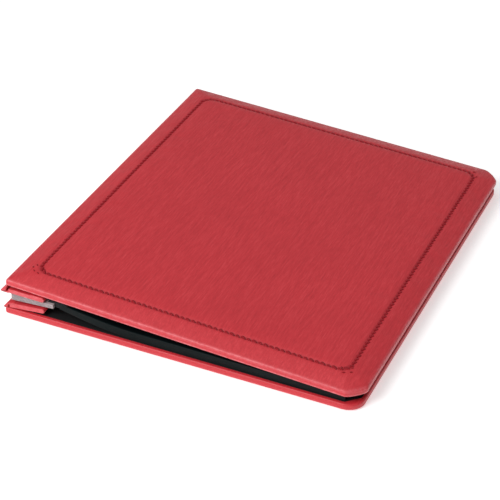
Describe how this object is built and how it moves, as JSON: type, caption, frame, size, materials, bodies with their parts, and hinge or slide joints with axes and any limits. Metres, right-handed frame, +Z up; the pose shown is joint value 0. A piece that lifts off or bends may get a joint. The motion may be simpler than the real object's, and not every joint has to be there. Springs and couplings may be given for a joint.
{
  "type": "stamp album",
  "caption": "Post-bound stamp album with padded leatherette covers, a stitched frame on the front, hinged flaps over hidden screw posts, and black pocket leaves on guard strips.",
  "frame": {"origin": "on the surface that the album lies on, under the middle of its bounding box", "axes": "+X from the spine to the fore-edge, +Y along the spine, away from the viewer, +Z up through the closed album"},
  "size_m": [0.258, 0.3, 0.0308],
  "materials": {
    "leatherette": "satin",
    "thread": "matte",
    "board": "matte",
    "foam": "matte",
    "lining": "matte",
    "guard_paper": "matte",
    "linen": "matte",
    "black_card": "satin",
    "clear_film": "gloss",
    "post_metal": "satin"
  },
  "bodies": {
    "back_cover": {"back_cover_board": "board", "back_cover_padding": "foam", "back_cover_covering": "leatherette", "back_cover_lining": "lining"},
    "binding_block": {"upper_flap_board": "board", "upper_flap_covering": "leatherette", "lower_flap_board": "board", "lower_flap_covering": "leatherette", "front_hinge_cloth": "leatherette", "back_hinge_cloth": "leatherette", "post_barrels": "post_metal", "post_screws": "post_metal", "guard_strip_1": "guard_paper", "leaf_hinge_1": "linen", "guard_strip_2": "guard_paper", "leaf_hinge_2": "linen", "guard_strip_3": "guard_paper", "leaf_hinge_3": "linen", "guard_strip_4": "guard_paper", "leaf_hinge_4": "linen", "guard_strip_5": "guard_paper", "leaf_hinge_5": "linen", "guard_strip_6": "guard_paper", "leaf_hinge_6": "linen"},
    "front_cover": {"front_cover_board": "board", "front_cover_padding": "foam", "front_cover_covering": "leatherette", "front_cover_lining": "lining", "front_cover_stitching": "thread"},
    "leaf_1": {"leaf_1": "black_card", "leaf_pockets_1": "clear_film"},
    "leaf_2": {"leaf_2": "black_card", "leaf_pockets_2": "clear_film"},
    "leaf_3": {"leaf_3": "black_card", "leaf_pockets_3": "clear_film"},
    "leaf_4": {"leaf_4": "black_card", "leaf_pockets_4": "clear_film"},
    "leaf_5": {"leaf_5": "black_card", "leaf_pockets_5": "clear_film"},
    "leaf_6": {"leaf_6": "black_card", "leaf_pockets_6": "clear_film"}
  },
  "joints": [
    {"name": "back_hinge", "type": "hinge", "parent": "back_cover", "child": "binding_block", "pos_m": [-0.12731, 0, 0.0049], "axis": [0, 1, 0], "range_deg": [-90, 0], "deforming": ["back_hinge_cloth"]},
    {"name": "front_hinge", "type": "hinge", "parent": "binding_block", "child": "front_cover", "pos_m": [-0.12771, 0, 0.0206], "axis": [0, -1, 0], "range_deg": [0, 185], "deforming": ["front_hinge_cloth"]},
    {"name": "leaf_turn_1", "type": "hinge", "parent": "binding_block", "child": "leaf_1", "pos_m": [-0.08811, 0, 0.0206], "axis": [0, -1, 0], "range_deg": [0, 184], "deforming": ["leaf_hinge_1"]},
    {"name": "leaf_turn_2", "type": "hinge", "parent": "binding_block", "child": "leaf_2", "pos_m": [-0.08811, 0, 0.0206], "axis": [0, -1, 0], "range_deg": [0, 183.2], "deforming": ["leaf_hinge_2"]},
    {"name": "leaf_turn_3", "type": "hinge", "parent": "binding_block", "child": "leaf_3", "pos_m": [-0.08811, 0, 0.0206], "axis": [0, -1, 0], "range_deg": [0, 182.4], "deforming": ["leaf_hinge_3"]},
    {"name": "leaf_turn_4", "type": "hinge", "parent": "binding_block", "child": "leaf_4", "pos_m": [-0.08811, 0, 0.0206], "axis": [0, -1, 0], "range_deg": [0, 181.6], "deforming": ["leaf_hinge_4"]},
    {"name": "leaf_turn_5", "type": "hinge", "parent": "binding_block", "child": "leaf_5", "pos_m": [-0.08811, 0, 0.0206], "axis": [0, -1, 0], "range_deg": [0, 180.8], "deforming": ["leaf_hinge_5"]},
    {"name": "leaf_turn_6", "type": "hinge", "parent": "binding_block", "child": "leaf_6", "pos_m": [-0.08811, 0, 0.0206], "axis": [0, -1, 0], "range_deg": [0, 180], "deforming": ["leaf_hinge_6"]}
  ],
  "couplings": [
    {"joint": "leaf_turn_1", "follows": "front_hinge", "ratio": 0.9946},
    {"joint": "leaf_turn_2", "follows": "front_hinge", "ratio": 0.99027},
    {"joint": "leaf_turn_3", "follows": "front_hinge", "ratio": 0.98595},
    {"joint": "leaf_turn_4", "follows": "front_hinge", "ratio": 0.98162},
    {"joint": "leaf_turn_5", "follows": "front_hinge", "ratio": 0.9773},
    {"joint": "leaf_turn_6", "follows": "front_hinge", "ratio": 0.97297}
  ]
}
